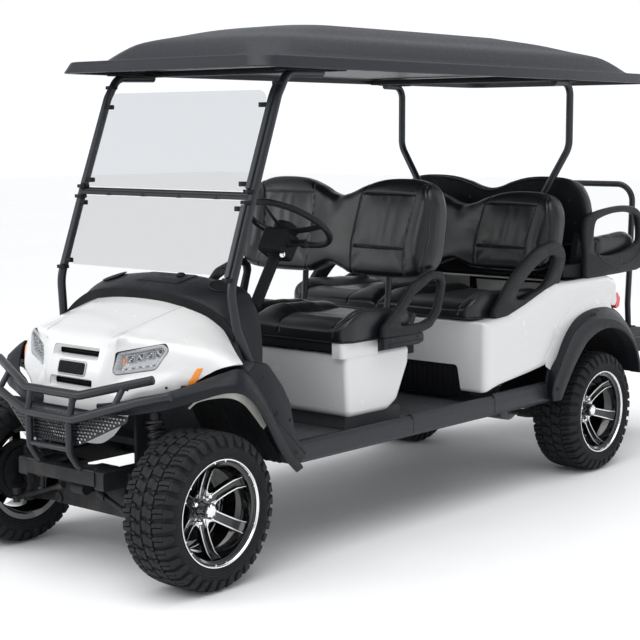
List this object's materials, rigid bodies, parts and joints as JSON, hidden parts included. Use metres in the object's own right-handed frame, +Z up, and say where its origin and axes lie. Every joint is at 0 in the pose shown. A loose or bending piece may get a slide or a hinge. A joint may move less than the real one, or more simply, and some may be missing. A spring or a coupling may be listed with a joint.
{
  "type": "six-seat lifted golf cart",
  "caption": "Lifted electric golf cart with a long roof, folding-lid seats in three rows, a rear-facing flip seat, coupled front steering and free-rolling wheels.",
  "frame": {"origin": "middle of the whole footprint, on the ground under the tyres", "axes": "+Z up; -Y towards the front bumper; +X towards the vehicle's left, the driver's side"},
  "size_m": [1.334, 3.8819, 2.058],
  "materials": {
    "black_steel": "satin black powder coat",
    "spring_steel": "dark oiled spring steel",
    "cast_housing": "painted casting",
    "battery_case": "moulded case",
    "floor_mat": "ribbed charcoal mat",
    "black_plastic": "grained moulded black",
    "white_body": "gloss white clearcoat",
    "lamp_lens": "clear lens",
    "red_lens": "red lens",
    "orange_lens": "amber lens",
    "tinted_screen": "light grey tint",
    "black_roof": "fine textured black",
    "black_vinyl": "soft sheen, fine grain",
    "grip_rubber": "soft grip",
    "tyre": "all-terrain tread",
    "wheel_alloy": "gloss black with machined edges",
    "polished_alloy": "machined"
  },
  "bodies": {
    "chassis": {"frame_rails": "black_steel", "front_suspension": "black_steel", "front_shocks": "spring_steel", "rear_axle": "cast_housing", "leaf_springs": "spring_steel", "battery_pack": "battery_case", "floor_pan": "floor_mat", "rockers": "black_plastic", "front_cowl": "white_body", "dash_panel": "black_plastic", "headlights": "lamp_lens", "front_fenders": "black_plastic", "front_bumper": "black_steel", "bumper_mesh": "black_steel", "windshield": "tinted_screen", "front_struts": "black_steel", "rear_struts": "black_steel", "roof_canopy": "black_roof", "steering_column": "black_plastic", "pedals": "black_steel", "front_seat_base": "white_body", "front_seat_backrest": "black_vinyl", "front_seat_supports": "black_steel", "front_armrests": "black_plastic", "middle_seat_backrest": "black_vinyl", "middle_armrests": "black_plastic", "rear_seat_backrest": "black_vinyl", "rear_seat_frame": "black_steel", "rear_armrests": "black_plastic", "grab_bar": "black_steel", "footrest": "black_plastic", "rear_body": "white_body", "rear_fenders": "black_plastic", "tail_lights": "red_lens"},
    "knuckle_left": {"knuckle_left": "cast_housing"},
    "knuckle_right": {"knuckle_right": "cast_housing"},
    "tie_rod_left": {"tie_rod_left": "black_steel"},
    "tie_rod_right": {"tie_rod_right": "black_steel"},
    "front_left_wheel": {"tyre_front_left": "tyre", "rim_front_left": "wheel_alloy"},
    "front_right_wheel": {"tyre_front_right": "tyre", "rim_front_right": "wheel_alloy"},
    "rear_left_wheel": {"tyre_rear_left": "tyre", "rim_rear_left": "wheel_alloy"},
    "rear_right_wheel": {"tyre_rear_right": "tyre", "rim_rear_right": "wheel_alloy"},
    "steering_wheel": {"steering_wheel": "grip_rubber"},
    "front_seat_lid": {"front_seat_cushion": "black_vinyl"},
    "middle_seat_lid": {"middle_seat_cushion": "black_vinyl"},
    "rear_flip_seat": {"rear_seat_cushion": "black_vinyl", "rear_cargo_deck": "black_plastic"}
  },
  "joints": [
    {"name": "steer_left", "type": "hinge", "parent": "chassis", "child": "knuckle_left", "pos_m": [0.43, -1.655, 0.286], "axis": [0, 0, 1], "range_deg": [-30, 30]},
    {"name": "steer_right", "type": "hinge", "parent": "chassis", "child": "knuckle_right", "pos_m": [-0.43, -1.655, 0.286], "axis": [0, 0, 1], "range_deg": [-30, 30]},
    {"name": "tie_rod_left_swing", "type": "hinge", "parent": "knuckle_left", "child": "tie_rod_left", "pos_m": [0.385, -1.75, 0.2], "axis": [0, 0, 1], "range_deg": [-36, 36]},
    {"name": "tie_rod_right_swing", "type": "hinge", "parent": "knuckle_right", "child": "tie_rod_right", "pos_m": [-0.385, -1.75, 0.2], "axis": [0, 0, 1], "range_deg": [-36, 36]},
    {"name": "steering_wheel_turn", "type": "hinge", "parent": "chassis", "child": "steering_wheel", "pos_m": [0.272, -0.886, 1.258], "axis": [0, 0.5299, 0.848], "range_deg": [-360, 360]},
    {"name": "front_left_spin", "type": "hinge", "parent": "knuckle_left", "child": "front_left_wheel", "pos_m": [0.531, -1.655, 0.286], "axis": [1, 0, 0], "continuous": true},
    {"name": "front_right_spin", "type": "hinge", "parent": "knuckle_right", "child": "front_right_wheel", "pos_m": [-0.531, -1.655, 0.286], "axis": [1, 0, 0], "continuous": true},
    {"name": "rear_left_spin", "type": "hinge", "parent": "chassis", "child": "rear_left_wheel", "pos_m": [0.531, 0.955, 0.286], "axis": [1, 0, 0], "continuous": true},
    {"name": "rear_right_spin", "type": "hinge", "parent": "chassis", "child": "rear_right_wheel", "pos_m": [-0.531, 0.955, 0.286], "axis": [1, 0, 0], "continuous": true},
    {"name": "front_seat_lift", "type": "hinge", "parent": "chassis", "child": "front_seat_lid", "pos_m": [0, -0.824, 0.748], "axis": [1, 0, 0], "range_deg": [0, 50]},
    {"name": "middle_seat_lift", "type": "hinge", "parent": "chassis", "child": "middle_seat_lid", "pos_m": [0, 0.026, 0.806], "axis": [1, 0, 0], "range_deg": [0, 55]},
    {"name": "rear_seat_flip", "type": "hinge", "parent": "chassis", "child": "rear_flip_seat", "pos_m": [0, 1.462, 0.998], "axis": [-1, 0, 0], "range_deg": [0, 180]}
  ],
  "couplings": [
    {"joint": "steer_right", "follows": "steer_left", "ratio": 1},
    {"joint": "tie_rod_left_swing", "follows": "steer_left", "ratio": -1.15},
    {"joint": "tie_rod_right_swing", "follows": "steer_left", "ratio": -1.15},
    {"joint": "steering_wheel_turn", "follows": "steer_left", "ratio": 12}
  ]
}
